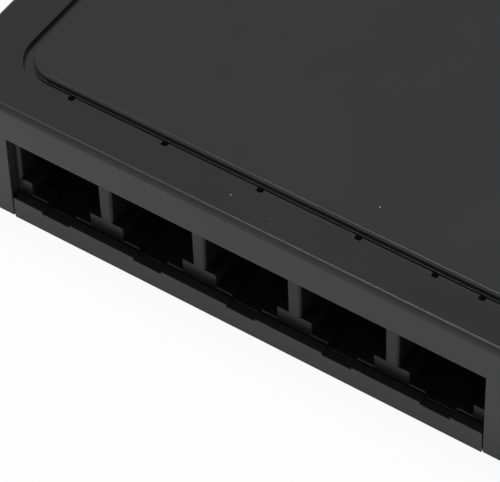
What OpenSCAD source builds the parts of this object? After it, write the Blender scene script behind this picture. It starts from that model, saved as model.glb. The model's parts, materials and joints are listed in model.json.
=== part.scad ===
// Five-port desktop network switch in a plastic case.
// Millimetres, +Z up, the ports face -Y. The origin lies under the middle of the case,
// on the surface that the rubber feet stand on.

/* [Case] */
// Depth of the case, front to back
case_d = 72; // [70:0.5:95]
// Room beside the row of sockets, for the screw posts
side_room = 8.21; // [7.8:0.05:12]
// Thickness of the cover's walls
cover_wall = 1.4; // [1.2:0.05:1.6]
// Thickness of the cover's roof under the panel
roof_t = 0.9; // [0.8:0.05:1.4]
// Room between the light guide and the roof
roof_room = 0.6; // [0.3:0.05:3]
// Radius of the case's upright corners
corner_r = 3; // [2.4:0.1:4]
// Radius of the rounded edge round the top
edge_r = 0.95; // [0.5:0.05:1.2]
// Gap between the cover and the shell inside it
fit_gap = 0.25; // [0.15:0.05:0.35]

/* [Top panel] */
// Border between the front or back of the case and the recess
border_front = 5.5; // [4.5:0.1:7]
// Border between the sides of the case and the recess
border_side = 6.75; // [4.5:0.05:8]
// Depth of the ledge below the border
step_h = 0.8; // [0.6:0.05:1.3]
// Width of the ledge between the recess wall and the panel's raised plate
ledge_w = 1.2; // [1:0.05:2]
// Thickness of the panel's flange, which forms the ledge
flange_t = 0.5; // [0.4:0.05:0.8]
// Gap between the flange and the recess wall
flange_gap = 0.07; // [0.05:0.01:0.15]
// Radius of the recess's corners
recess_r = 5.5; // [4:0.1:7]
// Rise of the panel above the border
panel_rise = 0.45; // [0.3:0.05:1.5]
// Radius of the panel's upper edge
panel_edge_r = 0.5; // [0.15:0.05:0.8]
// Height of the thin seam under the raised plate
seam_h = 0.15; // [0.1:0.05:0.4]
// Width and height of the small rim at the raised plate's foot
panel_rim = 0.13; // [0.08:0.01:0.4]
// Width of the seat that carries the panel
seat_w = 2.5; // [1.8:0.1:4]
// Thickness of the panel's locating rib
rib_t = 1; // [0.8:0.1:1.5]

/* [Light windows] */
// Diameter of a light window
window_dia = 0.9; // [0.7:0.05:1.1]
// Gap round a finger of the light guide in its window
window_gap = 0.06; // [0.04:0.01:0.1]
// How far the fingers end below the ledge
window_sink = 0.8; // [0.2:0.05:1]
// Offset of the port lights from their ports' middles
light_shift = -0.93; // [-2:0.01:2]
// Offset of the fifth port's light
light_five = -4.22; // [-5:0.01:-3]
// Offset of the power light from the fifth port's middle
light_power = 2.22; // [1:0.01:3]
// Thickness of the light guide
guide_t = 1.5; // [1.2:0.1:2]
// Width of the light guide's fingers
finger_w = 1.4; // [1.2:0.1:2]

/* [Base] */
// How far the rubber feet stand below the floor
foot_h = 1; // [0.6:0.1:2.5]
// Diameter of a rubber foot
foot_dia = 9; // [7:0.5:11]
// Depth of the recess that a foot is set in
foot_sink = 0.6; // [0.4:0.05:0.8]
// Thickness of the floor
floor_t = 1.4; // [1.3:0.05:2]
// How far the floor lies below the walls' lower edge
floor_drop = 1.2; // [0.8:0.05:1.3]
// Gap between the front lip and the sockets behind it
sill_gap = 0.1; // [0.05:0.05:0.5]
// Gap between the ends of the front lip and the cover
lip_gap = 0.15; // [0.1:0.05:0.5]
// How far the front lip reaches below the cover's lower edge
lip_drop = 0.17; // [0.05:0.01:0.4]
// Radius of the front lip's upper corners
lip_r = 0.25; // [0.1:0.05:1]
// Depth of the notch under each port
notch_h = 0.42; // [0.2:0.02:0.6]
// Length of a floor vent
vent_l = 18; // [10:0.5:20]
// Width of a floor vent
vent_w = 1.6; // [1:0.1:2]

/* [Sockets] */
// Spacing of the ports
port_pitch = 13.97; // [13.97:0.01:15.24]
// Width of a plug's cavity
cavity_w = 11.9; // [11.8:0.05:12.1]
// Chamfer at the sides of a socket's mouth
mouth_chamfer = 0.3; // [0.1:0.05:0.4]
// Thickness of the end walls beside the outer mouths
end_wall = 1.2; // [0.8:0.05:2]
// Gap between an outer mouth and the edge of the cover's opening
opening_gap = 0.51; // [0.3:0.01:0.8]
// Depth of the socket housing
jack_d = 17; // [16.5:0.1:20]
// Depth that a plug goes in
plug_d = 12; // [11.5:0.1:13]
// Height of a plug's cavity above its shelves
plug_h = 6.9; // [6.8:0.05:7.3]
// Width of the shelf along each side of a cavity
shelf_w = 1.5; // [1.2:0.05:1.8]
// Height of the shelves above the latch plates
shelf_h = 2.2; // [1.9:0.05:2.4]
// Width of the latch slot
latch_w = 4.15; // [3.6:0.05:4.6]
// Height of the latch slot
latch_h = 0.85; // [0.7:0.05:1.1]
// Depth of the latch plates
plate_d = 2.4; // [1.8:0.1:3]
// Thickness of the housing under the latch slot
sill_t = 0.6; // [0.5:0.05:0.9]
// Thickness of the housing's roof
jack_roof = 1; // [0.8:0.05:1.5]
// Thickness of the wall over a socket's mouth
lintel_t = 1.8; // [1.2:0.1:2]
// How far the cover's front bar laps over the housing
bar_lap = 1.65; // [1:0.05:2.4]
// Thickness of the skirt in front of the board
skirt_t = 1; // [0.8:0.05:1.5]

/* [Contacts] */
// Spacing of the wires
wire_pitch = 1.016; // [1:0.002:1.03]
// Width of a wire
wire_w = 0.4; // [0.3:0.02:0.5]
// Thickness of a wire
wire_t = 0.35; // [0.25:0.01:0.4]
// Gap between a wire and its carrier
wire_gap = 0.1; // [0.08:0.01:0.15]
// Radius of the carrier's nose, which the wires bend round
nose_r = 0.5; // [0.4:0.02:0.6]
// Length of a spring contact's straight tail
tail_l = 7.5; // [6.5:0.1:8]
// Slope of a spring contact at rest, in degrees
tail_slope = 24; // [20:1:26]

/* [Board] */
// Thickness of the circuit board
board_t = 1.2; // [1:0.1:1.6]
// Height of the board's standoffs
standoff_h = 1; // [0.9:0.05:2]
// Diameter of a standoff
standoff_dia = 6; // [5:0.1:7]
// Width of a transformer
coil_w = 12; // [10:0.1:12.5]
// Depth of a transformer
coil_d = 7.2; // [6:0.1:8]
// Height of a transformer
coil_h = 5.6; // [4:0.1:7]
// Side of the switch chip
chip_side = 14; // [10:0.5:15]
// Height of the switch chip
chip_h = 1.4; // [1:0.1:2]
// Diameter of a capacitor
can_dia = 6.3; // [5:0.1:6.3]
// Height of a capacitor
can_h = 5.8; // [5:0.1:8]
// Side of the power inductor
core_side = 6; // [5:0.1:6.5]
// Height of the power inductor
core_h = 2.9; // [2.5:0.1:4]

/* [Screws] */
// Diameter of a screw post
post_dia = 6; // [5.6:0.1:6.2]
// Diameter of a case screw
screw_dia = 2.8; // [2.4:0.1:3]
// Length of a case screw under its head
screw_l = 10; // [8:0.5:12]
// Diameter of a case screw's head
head_dia = 5; // [4.6:0.1:5.2]
// Height of a case screw's head
head_h = 1.7; // [1.4:0.1:1.8]
// Distance of the case screws from the front and back
screw_inset = 10; // [8:0.5:14]
// Diameter of a board screw
board_screw_dia = 2.2; // [1.8:0.1:2.4]
// Diameter of a board screw's head
board_head_dia = 4.2; // [3.8:0.1:4.6]
// Gap round a screw in its hole
screw_gap = 0.05; // [0.03:0.01:0.1]

/* [Power inlet] */
// Offset of the power inlet from the middle of the case
inlet_x = 22; // [16:0.5:24]
// Width of the inlet's body
inlet_w = 9; // [8.6:0.1:10]
// Depth of the inlet's body
inlet_d = 14.2; // [13.5:0.1:15]
// Height of the inlet's body
inlet_h = 10.8; // [10.6:0.1:11.5]
// Height of the inlet's bore above the board
inlet_rise = 6.5; // [6.2:0.05:6.6]
// Diameter of the inlet's bore
bore_dia = 6.3; // [6:0.05:6.5]
// Depth of the inlet's bore
bore_l = 9.5; // [9:0.1:10]
// Diameter of the centre pin
pin_dia = 2; // [1.6:0.05:2.5]
// Gap between the bore's edge and the edge of the hole in the cover
inlet_gap = 0.5; // [0.2:0.05:0.8]
// Length of the leaf spring
leaf_l = 7; // [6:0.1:7.5]
// Width of the leaf spring
leaf_w = 2; // [1.6:0.1:2.4]
// Thickness of the leaf spring
leaf_t = 0.3; // [0.2:0.05:0.4]
// Slope of the leaf spring at rest, in degrees
leaf_slope = 7; // [5:0.5:9]

/* [Hidden] */
$fn = 48;

ports = 5;
wires = 8;
// Overlap that joins shapes of one piece, and overshoot of cuts
eps = 0.01;
cut = 1;
// Small gap between loose-fitting pieces
slip = 0.2;

// Heights, from the surface up
z_floor = foot_h;
z_floor_in = z_floor + floor_t;
z_edge = z_floor + floor_drop;
z_board = z_floor_in + standoff_h;
z_deck = z_board + board_t;
z_sill = z_deck + sill_t;
z_plate = z_sill + latch_h;
z_shelf = z_plate + shelf_h;
z_ceiling = z_shelf + plug_h;
wire_in = nose_r + wire_gap;
wire_out = wire_in + wire_t;
z_nose = z_ceiling + wire_gap + nose_r;
z_bay = z_nose + wire_out + slip;
z_jack = z_bay + jack_roof;
z_bar = z_jack - bar_lap;
z_lip = z_sill + notch_h;
z_guide = z_jack + guide_t;
z_roof_in = z_guide + roof_room;
z_seat = z_roof_in + roof_t;
z_ledge = z_seat + flange_t;
z_top = z_ledge + step_h;
z_panel = z_top + panel_rise;

// Widths, from the middle
mouth_w = cavity_w + 2 * mouth_chamfer;
row_half = (ports - 1) / 2 * port_pitch;
jack_half = row_half + mouth_w / 2 + end_wall;
opening_half = row_half + mouth_w / 2 + opening_gap;
case_w = 2 * (jack_half + side_room + cover_wall);
shell_in = cover_wall + fit_gap;
shell_w = case_w - 2 * shell_in;
shell_d = case_d - 2 * shell_in;
shell_r = corner_r - shell_in;
post_x = jack_half + side_room / 2;
post_y = case_d / 2 - screw_inset;
recess_w = case_w - 2 * border_side;
recess_d = case_d - 2 * border_front;
panel_w = recess_w - 2 * ledge_w;
panel_d = recess_d - 2 * ledge_w;
panel_r = recess_r - ledge_w;
hatch_w = panel_w - 2 * seat_w;
hatch_d = panel_d - 2 * seat_w;
hatch_r = max(panel_r - seat_w, 0.6);

// Depths, from the front to the back
y_front = -case_d / 2;
y_back = case_d / 2;
y_face = y_front + cover_wall;
lip_t = cover_wall - sill_gap;
y_stop = y_face + plug_d;
y_jack = y_face + jack_d;
y_nose = y_face + lintel_t + slip + wire_out + slip;
carrier_back = y_jack - wire_t - wire_gap - slip;
y_lead = carrier_back + wire_gap;
bay_side = 1.3;
bay_half = wires * wire_pitch / 2 + bay_side;
window_in = 0.28;
y_window = y_front + border_front + ledge_w - window_in;
rail_t = 1;
board_side = 0.5;
board_front = y_face + skirt_t + slip;
board_back = y_back - shell_in - rail_t - slip;
board_half = jack_half + board_side;

// Rows of parts on the board, each behind the one before it
lead_reach = 1;
coil_reach = 1.2;
light_row = 1.6;
coil_row = 3.4;
small_row = 2;
chip_row = 2.6;
beside_chip = 7;
light_y = y_jack + light_row;
coil_y = y_jack + coil_row + coil_reach + coil_d / 2;
small_y = coil_y + coil_d / 2 + small_row;
chip_y = coil_y + coil_d / 2 + chip_row + lead_reach + chip_side / 2;
chip_room = chip_side / 2 + lead_reach + beside_chip;

// Power inlet
inlet_end = y_back - cover_wall;
inlet_front = inlet_end - inlet_d;
inlet_z = z_deck + inlet_rise;
inlet_side = inlet_x - inlet_w / 2;
leaf_root = 0.8;
leaf_root_r = 0.35;
leaf_axis_y = inlet_end - bore_l + leaf_root;
leaf_axis_z = inlet_z - bore_dia / 2 - leaf_root_r;
tab_w = 2;
tab_t = 0.4;
tail_below = 0.6;
terminals = [
    [inlet_x, inlet_front - tab_t / 2 - slip / 2],
    [inlet_x, inlet_front + inlet_d / 2],
    [inlet_side - tab_w / 2, inlet_front + inlet_d / 3]
];

// Columns and rows of the power parts beside the inlet
power_room = 2.7;
power_row = 2;
coil_step = 7;
power_step = can_dia + power_room;
power_x = [for (k = [1:3]) inlet_side - tab_w - k * power_step + can_dia / 2];
power_y = [inlet_front + power_row, inlet_front + power_row + coil_step];

// Standoffs with pegs, standoffs with screws and plain pads under the board
stand_inset = 4.2;
stand_x = board_half - stand_inset;
stand_y = [small_y + stand_inset, board_back - stand_inset];
pegs = [[stand_x, stand_y[0]], [-stand_x, stand_y[1]]];
board_screw_at = [[-stand_x, stand_y[0]], [stand_x, stand_y[1]]];
pads = [for (s = [-1, 1]) [s * port_pitch, y_face + jack_d / 2]];
peg_dia = 2.6;
peg_rise = 0.5;
post_hole = screw_dia + 2 * screw_gap;
boss_h = 4;
boss_dia = post_dia + slip;
foot_in = 11;
foot_x = post_x - foot_in;
foot_y = post_y;
head_lift = 0.1;
blind_floor = 0.5;
light_h = 0.8;
light_x = concat(
    [for (i = [1:ports - 1]) port_x(i) + light_shift],
    [port_x(ports) + light_five, port_x(ports) + light_power]
);

function port_x(i) = (i - (ports + 1) / 2) * port_pitch;

// Plain shapes

module rounded_plate(w, d, h, r) {
    linear_extrude(h) union() {
        square([w - 2 * r, d], center = true);
        square([w, d - 2 * r], center = true);
        for (sx = [-1, 1], sy = [-1, 1])
            translate([sx * (w / 2 - r), sy * (d / 2 - r)]) circle(r);
    }
}

// Half outline of a plate with a rounded upper edge, from its axis to its rim
module soft_half(r, h, e) {
    square([r - e, h]);
    square([r, h - e]);
    translate([r - e, h - e]) circle(e);
}

module soft_section(w, h, e) {
    translate([-w / 2 + e, 0]) square([w - 2 * e, h]);
    translate([-w / 2, 0]) square([w, h - e]);
    for (s = [-1, 1]) translate([s * (w / 2 - e), h - e]) circle(e);
}

// Rounded plate whose upper edge is rounded too
module soft_plate(w, d, h, r, e) {
    for (sx = [-1, 1], sy = [-1, 1])
        translate([sx * (w / 2 - r), sy * (d / 2 - r), 0]) rotate_extrude() soft_half(r, h, e);
    rotate([90, 0, 90]) linear_extrude(w - 2 * r, center = true) soft_section(d, h, e);
    rotate([90, 0, 0]) linear_extrude(d - 2 * r, center = true) soft_section(w, h, e);
}

// Box given by its lowest and highest corners
module block(low, high) {
    translate(low) cube(high - low);
}

// Cross-shaped driver recess in a screw's head, cut downwards from the origin
module cross_recess(head, depth) {
    span = 0.6 * head;
    slot = span / 4;
    for (a = [0, 90]) rotate(a)
        translate([-span / 2, -slot / 2, -depth]) cube([span, slot, depth + cut]);
}

// Case

module top_cover() {
    color([0.2, 0.2, 0.21])
    difference() {
        union() {
            difference() {
                translate([0, 0, z_edge])
                    soft_plate(case_w, case_d, z_top - z_edge, corner_r, edge_r);
                translate([0, 0, z_edge - cut])
                    rounded_plate(case_w - 2 * cover_wall, case_d - 2 * cover_wall,
                        z_roof_in - z_edge + cut, corner_r - cover_wall);
                translate([0, 0, z_seat])
                    rounded_plate(recess_w, recess_d, flange_t + step_h + cut, recess_r);
            }
            for (sx = [-1, 1], sy = [-1, 1]) translate([sx * post_x, sy * post_y, z_floor_in + boss_h])
                cylinder(d = post_dia, h = z_roof_in - z_floor_in - boss_h + eps);
        }
        // Hatch under the panel
        translate([0, 0, z_roof_in - cut])
            rounded_plate(hatch_w, hatch_d, z_panel - z_roof_in + 2 * cut, hatch_r);
        // Opening for the sockets
        block([-opening_half, y_front - cut, z_edge - cut], [opening_half, y_face + eps, z_bar]);
        // Holes for the lights, under the panel's windows
        for (x = light_x)
            translate([x, y_window, z_roof_in - cut]) cylinder(d = window_dia, h = roof_t + 2 * cut);
        // Screw holes in the posts
        for (sx = [-1, 1], sy = [-1, 1]) translate([sx * post_x, sy * post_y, z_floor_in + boss_h - cut])
            cylinder(d = post_hole, h = screw_l - boss_h + floor_t + 2 * cut);
        // Hole for the power inlet
        translate([inlet_x, y_back + cut, inlet_z]) rotate([90, 0, 0])
            cylinder(d = bore_dia + 2 * inlet_gap, h = cover_wall + 2 * cut);
    }
}

module top_panel() {
    rib_w = hatch_w - 2 * fit_gap;
    rib_d = hatch_d - 2 * fit_gap;
    rib_r = hatch_r - fit_gap;
    hook = 0.7;
    hook_h = 0.9;
    hook_l = 6;
    neck_in = seat_w / 3;
    z_foot = z_ledge + seam_h;
    color([0.22, 0.22, 0.23])
    union() {
        translate([0, 0, z_foot])
            soft_plate(panel_w - 2 * panel_rim, panel_d - 2 * panel_rim, z_panel - z_foot,
                panel_r - panel_rim, panel_edge_r);
        translate([0, 0, z_foot]) rounded_plate(panel_w, panel_d, panel_rim, panel_r);
        // Flange, neck under the raised plate and locating rib, hollow inside
        difference() {
            union() {
                translate([0, 0, z_seat])
                    rounded_plate(recess_w - 2 * flange_gap, recess_d - 2 * flange_gap, flange_t,
                        recess_r - flange_gap);
                translate([0, 0, z_ledge - eps])
                    rounded_plate(panel_w - 2 * neck_in, panel_d - 2 * neck_in, seam_h + 2 * eps,
                        panel_r - neck_in);
                translate([0, 0, z_roof_in]) rounded_plate(rib_w, rib_d, z_seat - z_roof_in + eps, rib_r);
            }
            translate([0, 0, z_roof_in - cut])
                rounded_plate(rib_w - 2 * rib_t, rib_d - 2 * rib_t, z_foot - z_roof_in + cut, rib_t / 3);
            for (x = light_x) translate([x, y_window, z_seat - cut])
                cylinder(d = window_dia, h = flange_t + cut + seam_h / 2);
        }
        // Snap hooks that catch under the cover's roof
        for (sx = [-1, 1], sy = [-1, 1]) translate([0, sy * rib_d / 4, 0]) mirror([sx < 0 ? 1 : 0, 0, 0]) {
            block([rib_w / 2 - rib_t, -hook_l / 2, z_roof_in - slip - hook_h],
                [rib_w / 2, hook_l / 2, z_roof_in + eps]);
            block([rib_w / 2 - eps, -hook_l / 2, z_roof_in - slip - hook_h],
                [hatch_w / 2 + hook, hook_l / 2, z_roof_in - slip]);
        }
    }
}

module bottom_shell() {
    root_top = z_board - slip;
    lip_half = opening_half - lip_gap;
    z_under = z_edge - lip_drop;
    // The lip's root reaches closer to the cover than the lip does and closes the gaps at its ends
    root_half = opening_half - lip_gap / 3;
    groove = 0.4;
    vent_step = 2.6 * vent_w;
    vent_in = 3;
    color([0.2, 0.2, 0.21])
    difference() {
        union() {
            translate([0, 0, z_floor]) rounded_plate(shell_w, shell_d, floor_t, shell_r);
            // Rail that stands inside the cover's walls, at the sides and the back
            difference() {
                translate([0, 0, z_floor_in - eps])
                    rounded_plate(shell_w, shell_d, z_board - z_floor_in + eps, shell_r);
                translate([0, 0, z_floor_in - cut])
                    rounded_plate(shell_w - 2 * rail_t, shell_d - 2 * rail_t, z_board + cut,
                        max(shell_r - rail_t, 0.2));
                block([-opening_half, y_front - cut, z_floor_in - cut / 2],
                    [opening_half, y_front + shell_in + 2 * rail_t, z_board + cut]);
            }
            // Front lip on its root
            block([-root_half, y_front + groove, z_edge], [root_half, board_front, root_top]);
            translate([0, y_front + lip_t, 0]) rotate([90, 0, 0]) linear_extrude(lip_t) union() {
                translate([-lip_half, z_under]) square([2 * lip_half, z_lip - lip_r - z_under]);
                translate([-lip_half + lip_r, z_under]) square([2 * (lip_half - lip_r), z_lip - z_under]);
                for (s = [-1, 1]) translate([s * (lip_half - lip_r), z_lip - lip_r]) circle(lip_r);
            }
            for (at = concat(pegs, board_screw_at, pads)) translate([at[0], at[1], z_floor_in - eps])
                cylinder(d = standoff_dia, h = standoff_h + eps);
            for (at = pegs) translate([at[0], at[1], z_board - eps])
                cylinder(d = peg_dia, h = board_t + peg_rise);
            for (sx = [-1, 1], sy = [-1, 1]) translate([sx * post_x, sy * post_y, z_floor_in - eps])
                cylinder(d = boss_dia, h = boss_h + eps);
        }
        // Notches in the lip, level with the latch slots
        for (i = [1:ports])
            block([port_x(i) - latch_w / 2, y_front - cut, z_sill],
                [port_x(i) + latch_w / 2, y_front + lip_t + cut, z_lip + cut]);
        // Case screw holes with sunk heads
        for (sx = [-1, 1], sy = [-1, 1]) translate([sx * post_x, sy * post_y, z_floor - cut]) {
            cylinder(d = post_hole, h = floor_t + boss_h + 2 * cut);
            cylinder(d = head_dia + 2 * slip, h = head_lift + head_h + cut);
        }
        // Blind holes for the board screws
        for (at = board_screw_at) translate([at[0], at[1], z_floor + blind_floor])
            cylinder(d = board_screw_dia + 2 * screw_gap, h = floor_t + standoff_h + cut);
        // Recesses for the feet
        for (sx = [-1, 1], sy = [-1, 1]) translate([sx * foot_x, sy * foot_y, z_floor - cut])
            cylinder(d = foot_dia + slip, h = foot_sink + cut);
        // Vents in the floor
        for (sx = [-1, 1], k = [-2:2])
            translate([sx * (vent_l / 2 + vent_in), k * vent_step, z_floor - cut])
                rounded_plate(vent_l, vent_w, floor_t + 2 * cut, vent_w / 2 - eps);
    }
}

module foot(sx, sy) {
    r = foot_dia / 2;
    rim = 0.4;
    color([0.08, 0.08, 0.08])
    translate([sx * foot_x, sy * foot_y, 0]) rotate_extrude() union() {
        square([r - rim, foot_h + foot_sink]);
        translate([0, rim]) square([r, foot_h + foot_sink - rim]);
        translate([r - rim, rim]) circle(rim);
    }
}

module case_screws() {
    color("silver")
    for (sx = [-1, 1], sy = [-1, 1]) translate([sx * post_x, sy * post_y, z_floor + head_lift])
        difference() {
            union() {
                cylinder(d = head_dia, h = head_h);
                cylinder(d = screw_dia, h = head_h + screw_l);
            }
            mirror([0, 0, 1]) cross_recess(head_dia, head_h / 2);
        }
}

module board_screws() {
    head = 1.3;
    shank = z_deck - z_floor - blind_floor - slip;
    color("silver")
    for (at = board_screw_at) translate([at[0], at[1], z_deck])
        difference() {
            union() {
                translate([0, 0, -shank]) cylinder(d = board_screw_dia, h = shank + eps);
                cylinder(d = board_head_dia, h = head);
            }
            translate([0, 0, head]) cross_recess(board_head_dia, head / 2);
        }
}

// Sockets

module port_housing() {
    cavity = cavity_w / 2;
    inner = cavity - shelf_w;
    color([0.09, 0.09, 0.1])
    difference() {
        union() {
            block([-jack_half, y_face, z_deck], [jack_half, y_jack, z_jack]);
            block([-jack_half, y_face, z_board + slip], [jack_half, y_face + skirt_t, z_deck + eps]);
        }
        for (i = [1:ports]) translate([port_x(i), 0, 0]) {
            // Room for the plug, above the shelves and between them
            block([-cavity, y_face - cut, z_shelf], [cavity, y_stop, z_ceiling]);
            block([-inner, y_face - cut, z_plate], [inner, y_stop, z_ceiling]);
            block([-inner, y_face + plate_d, z_sill], [inner, y_stop, z_ceiling]);
            block([-latch_w / 2, y_face - cut, z_sill], [latch_w / 2, y_stop, z_ceiling]);
            // Chamfers at the sides of the mouth
            translate([0, 0, z_shelf]) linear_extrude(plug_h) polygon([
                [-mouth_w / 2 - eps, y_face - eps], [mouth_w / 2 + eps, y_face - eps],
                [cavity, y_face + mouth_chamfer], [-cavity, y_face + mouth_chamfer]]);
            // Bay for the contacts, open to the back
            block([-bay_half, y_face + lintel_t, z_ceiling - eps], [bay_half, y_jack + cut, z_bay]);
            block([-bay_half, y_stop, z_deck - cut], [bay_half, y_jack + cut, z_bay]);
        }
    }
}

module contact_carrier(i) {
    half = bay_half - slip;
    color([0.12, 0.12, 0.13])
    translate([port_x(i), 0, 0]) {
        block([-half, y_stop, z_deck], [half, carrier_back, z_nose + nose_r]);
        block([-half, y_nose, z_nose - nose_r], [half, y_stop + eps, z_nose + nose_r]);
        translate([-half, y_nose, z_nose]) rotate([0, 90, 0]) cylinder(r = nose_r, h = 2 * half);
    }
}

function wire_x(k) = (k - (wires + 1) / 2) * wire_pitch;

module contact_leads(i) {
    z_low = z_board - tail_below;
    break_gap = 0.1;
    color([0.85, 0.65, 0.3])
    for (k = [1:wires]) translate([port_x(i) + wire_x(k) - wire_w / 2, 0, 0]) {
        block([0, y_nose + break_gap, z_nose + wire_in], [wire_w, y_lead + wire_t, z_nose + wire_out]);
        block([0, y_lead, z_low], [wire_w, y_lead + wire_t, z_nose + wire_in + eps]);
    }
}

module port_contacts(i) {
    color([0.9, 0.7, 0.32])
    for (k = [1:wires]) translate([port_x(i) + wire_x(k) - wire_w / 2, y_nose, z_nose]) {
        rotate([90, 0, 90]) rotate(90) rotate_extrude(angle = 180 - tail_slope)
            translate([wire_in, 0]) square([wire_t, wire_w]);
        rotate([-tail_slope, 0, 0]) translate([0, -eps, -wire_out]) cube([wire_w, tail_l, wire_t]);
    }
}

// Lights

module light_guide() {
    web_d = 2.4;
    web_in = 2;
    web_back = y_jack - web_in;
    leg_foot = z_deck + light_h + slip;
    color([0.85, 0.88, 0.9, 0.6]) {
        for (x = light_x) {
            block([x - finger_w / 2, y_window - finger_w / 2, z_jack],
                [x + finger_w / 2, light_y + finger_w / 2, z_guide]);
            translate([x, y_window, z_guide - eps])
                cylinder(d = window_dia - 2 * window_gap, h = z_ledge - window_sink - z_guide + eps);
            block([x - finger_w / 2, light_y - finger_w / 2, leg_foot],
                [x + finger_w / 2, light_y + finger_w / 2, z_guide]);
        }
        block([light_x[0], web_back - web_d, z_jack], [light_x[ports], web_back, z_guide]);
    }
}

module status_lights() {
    light_w = 1.6;
    light_d = 0.8;
    light_base = 0.35;
    lens_w = 1;
    color([0.93, 0.93, 0.85])
    for (x = light_x) {
        block([x - light_w / 2, light_y - light_d / 2, z_deck],
            [x + light_w / 2, light_y + light_d / 2, z_deck + light_base]);
        block([x - lens_w / 2, light_y - light_d / 2, z_deck + light_base - eps],
            [x + lens_w / 2, light_y + light_d / 2, z_deck + light_h]);
    }
}

// Board

module circuit_board() {
    lead_room = 0.32;
    lead_hole = wire_w + lead_room;
    color([0.05, 0.25, 0.15])
    difference() {
        block([-board_half, board_front, z_board], [board_half, board_back, z_deck]);
        for (i = [1:ports], k = [1:wires])
            translate([port_x(i) + wire_x(k), y_lead + wire_t / 2, z_board - cut])
                cylinder(d = lead_hole, h = board_t + 2 * cut, $fn = 24);
        for (at = pegs) translate([at[0], at[1], z_board - cut])
            cylinder(d = peg_dia + slip, h = board_t + 2 * cut);
        for (at = board_screw_at) translate([at[0], at[1], z_board - cut])
            cylinder(d = board_screw_dia + 2 * slip, h = board_t + 2 * cut);
        for (at = terminals)
            block([at[0] - tab_w / 2 - 2 * slip, at[1] - tab_t / 2 - slip, z_board - cut],
                [at[0] + tab_w / 2 + 2 * slip, at[1] + tab_t / 2 + slip, z_deck + cut]);
    }
}

// Bent lead that stands on the board beside a chip's body
module gull_lead(w, reach, rise) {
    t = 0.15;
    translate([-w / 2, -eps, rise - t]) cube([w, reach / 2 + t, t]);
    translate([-w / 2, reach / 2, 0]) cube([w, t, rise]);
    translate([-w / 2, reach / 2, 0]) cube([w, reach / 2, t]);
}

// Moulded block with a row of leads along the two sides that face -Y and +Y
module chip_block(w, d, h, count, pitch, lead_w, reach) {
    lift = 0.1;
    shoulder = 0.45 * h;
    translate([-w / 2, -d / 2, lift]) cube([w, d, h - lift]);
    for (a = [0, 180], k = [1:count]) rotate(a)
        translate([(k - (count + 1) / 2) * pitch, d / 2, 0]) gull_lead(lead_w, reach, shoulder);
}

module transformer(i) {
    lead_w = 0.5;
    color([0.13, 0.13, 0.13])
    translate([port_x(i), coil_y, z_deck])
        chip_block(coil_w, coil_d, coil_h, wires, coil_w / (wires + 1), lead_w, coil_reach);
}

module switch_chip() {
    pins = 16;
    lead_w = 0.35;
    color([0.15, 0.15, 0.15])
    translate([0, chip_y, z_deck]) union() {
        for (a = [0, 90]) rotate(a)
            chip_block(chip_side, chip_side, chip_h, pins, chip_side / (pins + 1), lead_w, lead_reach);
    }
}

// Chip with four leads on each of two sides
module small_chip(x, y) {
    w = 5;
    d = 4;
    h = 1.5;
    leads = 4;
    pitch = 1.27;
    lead_w = 0.4;
    color([0.15, 0.15, 0.15])
    translate([x, y, z_deck]) chip_block(w, d, h, leads, pitch, lead_w, lead_reach);
}

module crystal() {
    shell_l = 10.6;
    shell_wide = 4.2;
    height = 3.3;
    flange_w = 0.3;
    flange_h = 0.5;
    color([0.75, 0.75, 0.75])
    translate([chip_room + shell_wide / 2, chip_y, z_deck]) {
        rounded_plate(shell_l + 2 * flange_w, shell_wide + 2 * flange_w, flange_h, shell_wide / 2);
        rounded_plate(shell_l, shell_wide, height, shell_wide / 2 - flange_w / 3);
    }
}

module power_inductor() {
    flange = 0.7;
    winding = 1.2;
    color([0.25, 0.25, 0.26])
    translate([power_x[0], power_y[1], z_deck]) {
        rounded_plate(core_side, core_side, flange, winding);
        cylinder(d = core_side - 2 * winding, h = core_h);
        translate([0, 0, core_h - flange]) cylinder(d = core_side, h = flange);
    }
}

module capacitor(x, y) {
    half = can_dia / 2 + slip;
    clip = 1;
    base_h = 1.1;
    can_edge = 0.3;
    color([0.8, 0.8, 0.82])
    translate([x, y, z_deck]) {
        linear_extrude(base_h) polygon([
            [-half, -half], [half - clip, -half], [half, clip - half],
            [half, half - clip], [half - clip, half], [-half, half]]);
        translate([0, 0, base_h - eps]) rotate_extrude() soft_half(can_dia / 2, can_h - base_h, can_edge);
    }
}

// Small parts in rows: two behind each transformer and a row beside the memory chip
module chip_passives() {
    l = 1.6;
    w = 0.8;
    h = 0.5;
    behind_chip = 6;
    color([0.55, 0.45, 0.35]) translate([0, 0, z_deck + h / 2]) {
        for (i = [1:ports], s = [-1, 1]) translate([port_x(i) + s * port_pitch / 6, small_y, 0])
            cube([l, w, h], center = true);
        for (k = [-2:2]) translate([-chip_room + k * 2 * w, chip_y + behind_chip, 0])
            cube([w, l, h], center = true);
    }
}

// Power inlet

module inlet_body() {
    slot_half = leaf_w / 2 + slip;
    mouth_wall = 0.6;
    color([0.08, 0.08, 0.08])
    difference() {
        block([inlet_side, inlet_front, z_deck], [inlet_side + inlet_w, inlet_end, z_deck + inlet_h]);
        translate([inlet_x, inlet_end + cut, inlet_z]) rotate([90, 0, 0])
            cylinder(d = bore_dia, h = bore_l + cut);
        translate([inlet_x, inlet_end, inlet_z]) rotate([90, 0, 0])
            cylinder(d = pin_dia + 2 * screw_gap, h = inlet_d + cut);
        // Slot for the leaf spring
        block([inlet_x - slot_half, leaf_axis_y - leaf_root_r - slip, leaf_axis_z - leaf_root_r - 2 * slip],
            [inlet_x + slot_half, inlet_end - mouth_wall, inlet_z]);
    }
}

module inlet_pin() {
    pin_sink = 1;
    color("silver")
    translate([inlet_x, terminals[0][1] - tab_t / 2, inlet_z]) rotate([-90, 0, 0])
        cylinder(d = pin_dia, h = inlet_end - pin_sink - terminals[0][1] + tab_t / 2);
}

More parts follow.
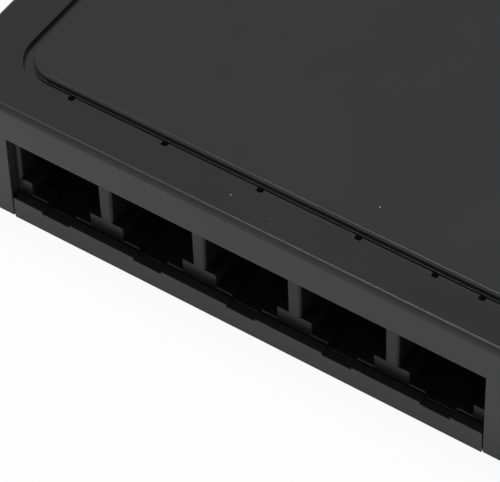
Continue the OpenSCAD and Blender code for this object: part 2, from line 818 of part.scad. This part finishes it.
module inlet_spring() {
    color("silver")
    translate([inlet_x - leaf_w / 2, leaf_axis_y, leaf_axis_z]) {
        rotate([0, 90, 0]) cylinder(r = leaf_root_r, h = leaf_w);
        rotate([leaf_slope, 0, 0]) translate([0, 0, -leaf_t / 2]) cube([leaf_w, leaf_l, leaf_t]);
    }
}

module inlet_terminals() {
    eye_wall = 0.8;
    eye = pin_dia / 2 + eye_wall;
    tops = [z_deck + slip, z_deck, z_deck + inlet_h / 3];
    color("silver") {
        // Tabs through the board, under, beside and behind the body
        for (k = [0:2]) translate([terminals[k][0], terminals[k][1], 0])
            block([-tab_w / 2, -tab_t / 2, z_board - tail_below], [tab_w / 2, tab_t / 2, tops[k]]);
        // Strap from the tab behind the body up to an eye round the centre pin
        difference() {
            block([inlet_x - eye, terminals[0][1] - tab_t / 2, z_deck + slip - eps],
                [inlet_x + eye, terminals[0][1] + tab_t / 2, inlet_z + eye]);
            translate([inlet_x, inlet_front, inlet_z]) rotate([90, 0, 0])
                cylinder(d = pin_dia + 2 * screw_gap, h = 2 * cut);
        }
    }
}

top_cover();
top_panel();
bottom_shell();
circuit_board();
port_housing();
for (i = [1:ports]) {
    contact_carrier(i);
    contact_leads(i);
    port_contacts(i);
    transformer(i);
}
light_guide();
status_lights();
switch_chip();
small_chip(-chip_room, chip_y);  // memory_chip
small_chip(power_x[0], power_y[0]);  // regulator_chip
crystal();
power_inductor();
capacitor(power_x[1], power_y[0]);  // capacitor_1
capacitor(power_x[2], power_y[0]);  // capacitor_2
chip_passives();
inlet_body();
inlet_pin();
inlet_spring();
inlet_terminals();
foot(-1, -1);  // foot_front_left
foot(1, -1);  // foot_front_right
foot(-1, 1);  // foot_rear_left
foot(1, 1);  // foot_rear_right
case_screws();
board_screws();
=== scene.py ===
"""Looks of a small desktop network switch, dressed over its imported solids."""
import json
from math import cos, radians, sin

import bmesh
import bpy
from mathutils import Matrix, Vector

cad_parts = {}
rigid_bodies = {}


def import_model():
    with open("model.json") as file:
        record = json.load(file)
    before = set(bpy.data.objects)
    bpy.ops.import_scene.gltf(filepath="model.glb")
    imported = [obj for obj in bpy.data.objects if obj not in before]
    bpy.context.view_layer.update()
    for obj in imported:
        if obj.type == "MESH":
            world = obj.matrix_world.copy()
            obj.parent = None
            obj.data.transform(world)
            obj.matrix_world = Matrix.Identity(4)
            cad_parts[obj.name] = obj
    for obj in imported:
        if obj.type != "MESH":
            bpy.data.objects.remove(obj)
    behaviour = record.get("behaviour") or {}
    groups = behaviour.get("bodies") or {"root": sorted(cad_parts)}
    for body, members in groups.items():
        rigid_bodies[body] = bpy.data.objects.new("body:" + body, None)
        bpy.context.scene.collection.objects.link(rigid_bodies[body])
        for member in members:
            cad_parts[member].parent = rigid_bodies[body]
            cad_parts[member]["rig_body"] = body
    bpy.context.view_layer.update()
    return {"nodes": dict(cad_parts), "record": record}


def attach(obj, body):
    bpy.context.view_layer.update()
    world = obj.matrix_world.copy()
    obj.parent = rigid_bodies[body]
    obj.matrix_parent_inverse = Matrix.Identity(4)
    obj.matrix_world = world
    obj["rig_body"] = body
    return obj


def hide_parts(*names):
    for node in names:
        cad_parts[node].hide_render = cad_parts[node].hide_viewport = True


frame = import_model()

MM = 0.001


# Shader building


class Wire:
    """One output of a shader node; arithmetic on it adds Math nodes."""

    def __init__(self, finish, socket):
        self.finish = finish
        self.socket = socket

    def math(self, operation, *values):
        inputs = dict(enumerate(values))
        return self.finish.node("ShaderNodeMath", {"operation": operation}, inputs)

    def __add__(self, other):
        return self.math("ADD", self, other)

    def __sub__(self, other):
        return self.math("SUBTRACT", self, other)

    def __rsub__(self, other):
        return self.math("SUBTRACT", other, self)

    def __mul__(self, other):
        return self.math("MULTIPLY", self, other)

    def __lt__(self, other):
        return self.math("LESS_THAN", self, other)

    __radd__ = __add__
    __rmul__ = __mul__


class Finish:
    """A material, or the world, made of nodes, with the patterns that the finishes share."""

    def __init__(self, name, kind=bpy.data.materials):
        self.material = kind.new(name)
        self.material.use_nodes = True
        self.tree = self.material.node_tree
        self.tree.nodes.clear()
        self.place = self.node("ShaderNodeTexCoord", output="Object")

    def node(self, kind, settings=None, inputs=None, output=0):
        """Adds a node, sets it up, then fills or links its sockets, and returns one output."""
        node = self.tree.nodes.new(kind)
        for key, value in (settings or {}).items():
            if key == "stops":
                self.set_stops(node.color_ramp, value)
            else:
                setattr(node, key, value)
        for key, value in (inputs or {}).items():
            if isinstance(value, Wire):
                self.tree.links.new(value.socket, node.inputs[key])
            else:
                node.inputs[key].default_value = value
        return Wire(self, node.outputs[output]) if node.outputs else node

    def set_stops(self, ramp, stops):
        while len(ramp.elements) < len(stops):
            ramp.elements.new(1.0)
        for element, (position, colour) in zip(ramp.elements, stops):
            element.position = position
            element.color = colour

    def noise(self, size, detail=2.0, place=None):
        """Smooth noise whose features are about size metres across."""
        inputs = {"Vector": place or self.place, "Scale": 1.0 / size, "Detail": detail}
        return self.node("ShaderNodeTexNoise", None, inputs)

    def stretched(self, x, y, z):
        """The coordinates, stretched so that a pattern runs along one axis."""
        return self.node("ShaderNodeMapping", None, {"Vector": self.place, "Scale": (x, y, z)})

    def distance(self, spot):
        """How far the surface is from a spot, in metres."""
        ends = {0: self.place, 1: spot}
        return self.node("ShaderNodeVectorMath", {"operation": "DISTANCE"}, ends, "Value")

    def ray(self, kind):
        """1 where the light path is of one kind, else 0."""
        return self.node("ShaderNodeLightPath", None, None, kind)

    def blend(self, amount, first, second):
        """Colour between two colours."""
        inputs = {"Factor": amount, "A": first, "B": second}
        return self.node("ShaderNodeMix", {"data_type": "RGBA"}, inputs, "Result")

    def mix(self, amount, first, second):
        """Shader between two shaders."""
        return self.node("ShaderNodeMixShader", None, {"Fac": amount, 1: first, 2: second})

    def bump(self, height, strength, depth):
        inputs = {"Height": height, "Strength": strength, "Distance": depth}
        return self.node("ShaderNodeBump", None, inputs)

    def surface(self, **inputs):
        """Ends the material in one Principled shader."""
        sockets = {key.replace("_", " "): value for key, value in inputs.items()}
        shader = self.node("ShaderNodeBsdfPrincipled", None, sockets)
        self.node("ShaderNodeOutputMaterial", None, {"Surface": shader})
        return self.material


def grey(value, blue=1.0):
    return (value, value, value * blue, 1.0)


def varied(middle, *patterns):
    """A value that swings about its middle with patterns, each given with the width of its swing."""
    for pattern, swing in patterns:
        middle = middle + (pattern - 0.5) * swing
    return middle


# Finishes


def dust(finish, specks):
    """Mask of single pale specks, each given by its place and radius in millimetres."""
    return sum(
        finish.distance([value * MM for value in spot]) < radius * MM for spot, radius in specks
    )


def textured_plastic(name, shade, blue, roughness, specks):
    """Charcoal plastic moulded in a finely eroded tool: even, dull, with a faint grain."""
    finish = Finish(name)
    cloud = finish.noise(14 * MM, detail=3.0)
    grain = finish.noise(0.22 * MM)
    pits = finish.node("ShaderNodeTexVoronoi", None, {"Vector": finish.place, "Scale": 1 / (0.3 * MM)})
    mottle = 0.7 * cloud + 0.3 * grain
    tone = finish.blend(mottle, grey(shade * 0.86, blue), grey(shade * 1.14, blue))
    return finish.surface(
        Base_Color=finish.blend(dust(finish, specks), tone, DUST_COLOUR),
        Roughness=varied(roughness, (grain, 0.16), (cloud, 0.06)),
        Normal=finish.bump(grain + pits * 0.5, strength=0.2, depth=0.012 * MM),
        Specular_IOR_Level=0.28,
    )


def socket_plastic(name, shade, blue, roughness):
    """Black glass-filled plastic of the sockets, with faint flow lines."""
    finish = Finish(name)
    flow = finish.noise(1.6 * MM, detail=3.0, place=finish.stretched(0.5, 1.0, 2.0))
    grain = finish.noise(0.16 * MM)
    return finish.surface(
        Base_Color=finish.blend(flow, grey(shade * 0.8, blue), grey(shade * 1.2, blue)),
        Roughness=varied(roughness, (flow, 0.12), (grain, 0.1)),
        Normal=finish.bump(grain + flow * 0.6, strength=0.12, depth=0.01 * MM),
        Specular_IOR_Level=0.22,
    )


def drawn_metal(name, colour, roughness, along):
    """Thin drawn or stamped metal with fine lines along one axis and a little tarnish."""
    finish = Finish(name)
    lines = finish.noise(0.25 * MM, detail=3.0, place=finish.stretched(*along))
    tarnish = finish.noise(2.5 * MM, detail=3.0)
    dull = tuple(TARNISHED * value for value in colour[:3]) + (1.0,)
    return finish.surface(
        Base_Color=finish.blend(tarnish * 0.6 + lines * 0.25, colour, dull),
        Roughness=varied(roughness, (lines, 0.18), (tarnish, 0.12)),
        Metallic=1.0,
        Normal=finish.bump(lines, strength=0.1, depth=0.008 * MM),
    )


def board_laminate(name, mask_low, mask_high, copper):
    """Solder mask over copper runs, with the weave of the glass cloth showing through."""
    finish = Finish(name)
    runs = finish.node(
        "ShaderNodeTexBrick",
        {"offset": 0.37, "squash": 1.6},
        {"Vector": finish.place, "Scale": 1 / (9 * MM), "Mortar Size": 0.03, "Mortar Smooth": 0.2},
        "Fac",
    )
    weave = finish.noise(0.5 * MM, place=finish.stretched(1.0, 4.0, 1.0))
    return finish.surface(
        Base_Color=finish.blend(runs, finish.blend(weave, mask_low, mask_high), copper),
        Roughness=0.32 + weave * 0.14,
        Normal=finish.bump(runs + weave * 0.2, strength=0.2, depth=0.03 * MM),
    )


def chip_epoxy(name, shade, roughness):
    """Moulded epoxy with bright filler grains."""
    finish = Finish(name)
    filler = finish.noise(0.12 * MM)
    cloud = finish.noise(3 * MM)
    return finish.surface(
        Base_Color=finish.blend(0.5 * filler + 0.5 * cloud, grey(shade * 0.75), grey(shade * 1.3)),
        Roughness=varied(roughness, (filler, 0.25)),
        Normal=finish.bump(filler, strength=0.25, depth=0.012 * MM),
    )


def clear_plastic(name, low, high):
    """Clear moulded light guide, a little hazy."""
    finish = Finish(name)
    haze = finish.noise(1.2 * MM)
    return finish.surface(
        Base_Color=finish.blend(haze, low, high),
        Roughness=0.16 + haze * 0.16,
        Transmission_Weight=0.9,
        IOR=1.49,
    )


def light_chip(name, low, high):
    """Pale chip package under a warm lens."""
    finish = Finish(name)
    cloud = finish.noise(0.6 * MM)
    return finish.surface(
        Base_Color=finish.blend(cloud, low, high),
        Roughness=0.2 + cloud * 0.15,
        Coat_Weight=0.4,
    )


def fired_ceramic(name, low, high, roughness):
    """Fine-grained fired body of a small component."""
    finish = Finish(name)
    grain = finish.noise(0.2 * MM, detail=3.0)
    return finish.surface(
        Base_Color=finish.blend(grain, low, high),
        Roughness=varied(roughness, (grain, 0.2)),
        Normal=finish.bump(grain, strength=0.2, depth=0.015 * MM),
    )


def foot_rubber(name, clean, dusty, roughness):
    """Soft black rubber with a fine matte skin and a little picked-up dust."""
    finish = Finish(name)
    skin = finish.noise(0.35 * MM, detail=3.0)
    scuff = finish.noise(2.2 * MM, detail=4.0)
    return finish.surface(
        Base_Color=finish.blend(scuff * 0.6 + skin * 0.2, clean, dusty),
        Roughness=varied(roughness, (skin, 0.2)),
        Normal=finish.bump(skin, strength=0.35, depth=0.03 * MM),
        Specular_IOR_Level=0.3,
    )


TARNISHED = 0.72
DUST_COLOUR = grey(0.6)
CASE_DUST = [((-3.05, -32.71, 22.2), 0.075), ((3.03, -33.36, 22.2), 0.035)]
PANEL_DUST = [((13.17, -25.05, 22.65), 0.085)]
GOLD = (0.8, 0.63, 0.36, 1)
TIN = (0.76, 0.76, 0.78, 1)
NICKEL = (0.78, 0.77, 0.74, 1)
STEEL = (0.5, 0.5, 0.51, 1)
MASK_LOW = (0.012, 0.075, 0.03, 1)
MASK_HIGH = (0.018, 0.105, 0.045, 1)
COPPER_UNDER_MASK = (0.03, 0.17, 0.07, 1)
GUIDE_LOW = (0.7, 0.72, 0.74, 1)
GUIDE_HIGH = (0.82, 0.84, 0.86, 1)
LENS_LOW = (0.82, 0.8, 0.62, 1)
LENS_HIGH = (0.9, 0.89, 0.78, 1)
TAN_LOW = (0.36, 0.25, 0.16, 1)
TAN_HIGH = (0.5, 0.37, 0.26, 1)
FINISHES = {
    "case_plastic": textured_plastic("case_plastic", 0.036, blue=1.0, roughness=0.22, specks=CASE_DUST),
    "panel_plastic": textured_plastic("panel_plastic", 0.0415, blue=1.03, roughness=0.19, specks=PANEL_DUST),
    "socket_plastic": socket_plastic("socket_plastic", 0.018, blue=1.05, roughness=0.3),
    "contact_metal": drawn_metal("contact_metal", GOLD, roughness=0.24, along=(6, 1, 1)),
    "board_laminate": board_laminate("board_laminate", MASK_LOW, MASK_HIGH, COPPER_UNDER_MASK),
    "light_plastic": clear_plastic("light_plastic", GUIDE_LOW, GUIDE_HIGH),
    "light_chip": light_chip("light_chip", LENS_LOW, LENS_HIGH),
    "chip_plastic": chip_epoxy("chip_plastic", 0.024, roughness=0.5),
    "can_metal": drawn_metal("can_metal", TIN, roughness=0.3, along=(1, 1, 5)),
    "ferrite": fired_ceramic("ferrite", grey(0.045), grey(0.085), roughness=0.6),
    "chip_ceramic": fired_ceramic("chip_ceramic", TAN_LOW, TAN_HIGH, roughness=0.45),
    "inlet_metal": drawn_metal("inlet_metal", NICKEL, roughness=0.2, along=(5, 1, 5)),
    "foot_rubber": foot_rubber("foot_rubber", grey(0.016), grey(0.05), roughness=0.78),
    "screw_steel": drawn_metal("screw_steel", STEEL, roughness=0.32, along=(1, 1, 6)),
}


# Pieces

WELD = 0.025 * MM
FLAT = radians(0.5)
SHARP = radians(28)
SMOOTH_FACE_WEIGHT = 100


def dress(piece, slot):
    """Gives a piece its finish in place of any material that it has."""
    piece.data.materials.clear()
    piece.data.materials.append(FINISHES[slot])


def mark_edges(shape):
    """Marks the sharp outer edges for rounding."""
    weight = shape.edges.layers.float.new("bevel_weight_edge")
    for edge in shape.edges:
        if edge.is_convex and edge.calc_face_angle() > SHARP:
            edge[weight] = 1.0


def softened(node, slot, radius, faceted=False):
    """Piece in the shape of a solid, with its sharp edges rounded to a small radius."""
    shape = bmesh.new()
    shape.from_mesh(frame["nodes"][node].data)
    bmesh.ops.remove_doubles(shape, verts=shape.verts, dist=WELD)
    bmesh.ops.dissolve_limit(shape, angle_limit=FLAT, verts=shape.verts, edges=shape.edges)
    shape.normal_update()
    mark_edges(shape)
    mesh = bpy.data.meshes.new(node + "_soft")
    shape.to_mesh(mesh)
    shape.free()
    piece = bpy.data.objects.new(node + "_soft", mesh)
    bpy.context.scene.collection.objects.link(piece)
    bevel = piece.modifiers.new("Edges", "BEVEL")
    bevel.width = radius
    bevel.segments = 2
    bevel.limit_method = "WEIGHT"
    bevel.use_clamp_overlap = False
    bevel.loop_slide = False
    if faceted:
        mesh.shade_flat()
    else:
        mesh.shade_smooth()
        normals = piece.modifiers.new("Normals", "WEIGHTED_NORMAL")
        normals.weight = SMOOTH_FACE_WEIGHT
        normals.keep_sharp = True
    dress(piece, slot)
    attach(piece, frame["nodes"][node]["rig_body"])
    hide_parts(node)


slots = {part["node"]: part["material_slot"] for part in frame["record"]["subparts"]}
for node, piece in frame["nodes"].items():
    dress(piece, slots[node])

softened("top_cover", "case_plastic", radius=0.1 * MM)
softened("top_panel", "panel_plastic", radius=0.05 * MM)
softened("bottom_shell", "case_plastic", radius=0.08 * MM)
softened("port_housing", "socket_plastic", radius=0.13 * MM, faceted=True)
softened("inlet_body", "socket_plastic", radius=0.1 * MM)
softened("case_screws", "screw_steel", radius=0.12 * MM)


# Floor, light and camera

FLOOR_HALF = 3.0
FLOOR_PAINT = grey(0.85)
FLOOR_WHITE = 0.95
GLOW_REACH = 0.6
# Brightness of the floor in reflections, by the share of the reach from the middle: the dimmer ring round
# the middle, where the object stands, is painted shade, and it also lets more of the matte floor with its
# real shadow show there; the brightness fades to nothing towards the end of the reach
GLOW_AND_PAINTED_SHADE_RINGS = [(0.08, grey(0.48)), (0.14, grey(1.0)), (0.8, grey(1.0)), (1.0, grey(0.0))]
ROOM_STRENGTH = 0.2
SENSOR_WIDTH = 36.0
NEAREST = 0.01


def studio_floor():
    """Pale floor, white to the camera and in reflections, with painted shade in a dimmer ring round the
    middle of its reflections, that takes a shadow and is clear from below.
    """
    finish = Finish("studio_floor")
    seen = finish.ray("Is Camera Ray")
    reach = finish.distance((0, 0, 0)) * (1.0 / GLOW_REACH)
    glow = finish.node("ShaderNodeValToRGB", {"stops": GLOW_AND_PAINTED_SHADE_RINGS}, {"Fac": reach})
    mirrored = finish.ray("Is Glossy Ray") + finish.ray("Is Transmission Ray")
    matte = finish.node("ShaderNodeBsdfDiffuse", None, {"Color": FLOOR_PAINT})
    white = finish.node("ShaderNodeEmission", None, {"Color": grey(1.0), "Strength": 1.0})
    above = finish.mix(FLOOR_WHITE * seen + glow * mirrored, matte, white)
    under = finish.node("ShaderNodeNewGeometry", None, None, "Backfacing")
    clear = finish.node("ShaderNodeBsdfTransparent")
    shader = finish.mix(under * seen, above, clear)
    finish.node("ShaderNodeOutputMaterial", None, {"Surface": shader})
    shape = bmesh.new()
    bmesh.ops.create_grid(shape, x_segments=1, y_segments=1, size=FLOOR_HALF)
    mesh = bpy.data.meshes.new("studio_floor")
    shape.to_mesh(mesh)
    shape.free()
    floor = bpy.data.objects.new("studio_floor", mesh)
    mesh.materials.append(finish.material)
    bpy.context.scene.collection.objects.link(floor)


def room_light():
    """Even dim light from all round, in a room that is white to the camera."""
    finish = Finish("room", bpy.data.worlds)
    dim = finish.node("ShaderNodeBackground", None, {"Color": grey(1.0), "Strength": ROOM_STRENGTH})
    white = finish.node("ShaderNodeBackground", None, {"Color": grey(1.0), "Strength": 1.0})
    shader = finish.mix(finish.ray("Is Camera Ray"), dim, white)
    finish.node("ShaderNodeOutputWorld", None, {"Surface": shader})
    bpy.context.scene.world = finish.material


def softbox(name, place, size, power, tilt=0.0, lights=True, mirrored=True):
    """Soft lamp that shines down or to the back, and may be kept out of one kind of light."""
    lamp = bpy.data.lights.new(name, "AREA")
    lamp.shape = "RECTANGLE"
    lamp.size, lamp.size_y = size
    lamp.energy = power
    box = bpy.data.objects.new(name, lamp)
    box.location = place
    box.rotation_euler.x = tilt
    box.visible_glossy = mirrored
    box.visible_diffuse = lights
    bpy.context.scene.collection.objects.link(box)


def gloss(name, place, size, power, tilt=0.0):
    """Softbox that shows in reflections only."""
    softbox(name, place, size, power, tilt, lights=False)


def camera(aim, azimuth, elevation, roll, distance, lens):
    """Camera that looks at aim from an azimuth to the right of the front."""
    back = Vector((sin(azimuth) * cos(elevation), -cos(azimuth) * cos(elevation), sin(elevation)))
    right = Vector((cos(azimuth), sin(azimuth), 0))
    axes = Matrix((right, back.cross(right), back)).transposed()
    eye = bpy.data.objects.new("camera", bpy.data.cameras.new("camera"))
    eye.data.lens = lens
    eye.data.sensor_width = SENSOR_WIDTH
    eye.data.clip_start = NEAREST
    turn = axes @ Matrix.Rotation(roll, 3, "Z")
    eye.matrix_world = Matrix.Translation(Vector(aim) + distance * back) @ turn.to_4x4()
    bpy.context.scene.collection.objects.link(eye)
    bpy.context.scene.camera = eye


studio_floor()
room_light()
softbox("overhead", place=(-0.36, 0.15, 1.2), size=(0.72, 0.33), power=11.9, mirrored=False)
gloss("skirt", place=(-0.2, -0.5, 0.8), size=(1.2, 0.6), power=0.3)
gloss("strip", place=(-0.08, -0.12, 0.8), size=(0.5, 0.11), power=1.7)
gloss("strip_end", place=(-0.46, -0.12, 0.8), size=(0.26, 0.11), power=0.22)
gloss("front_wall", place=(-0.3, -1.6, 0.3), size=(3.0, 0.6), power=4.0, tilt=radians(90))
gloss("front_wall_high", place=(-0.3, -1.6, 0.85), size=(3.0, 0.5), power=1.6, tilt=radians(90))
camera(
    aim=(-3.54 * MM, -28.43 * MM, 9.32 * MM),
    azimuth=radians(35.655),
    elevation=radians(49.082),
    roll=radians(-2.175),
    distance=414.75 * MM,
    lens=243.05,
)
bpy.context.scene.view_settings.view_transform = "Standard"
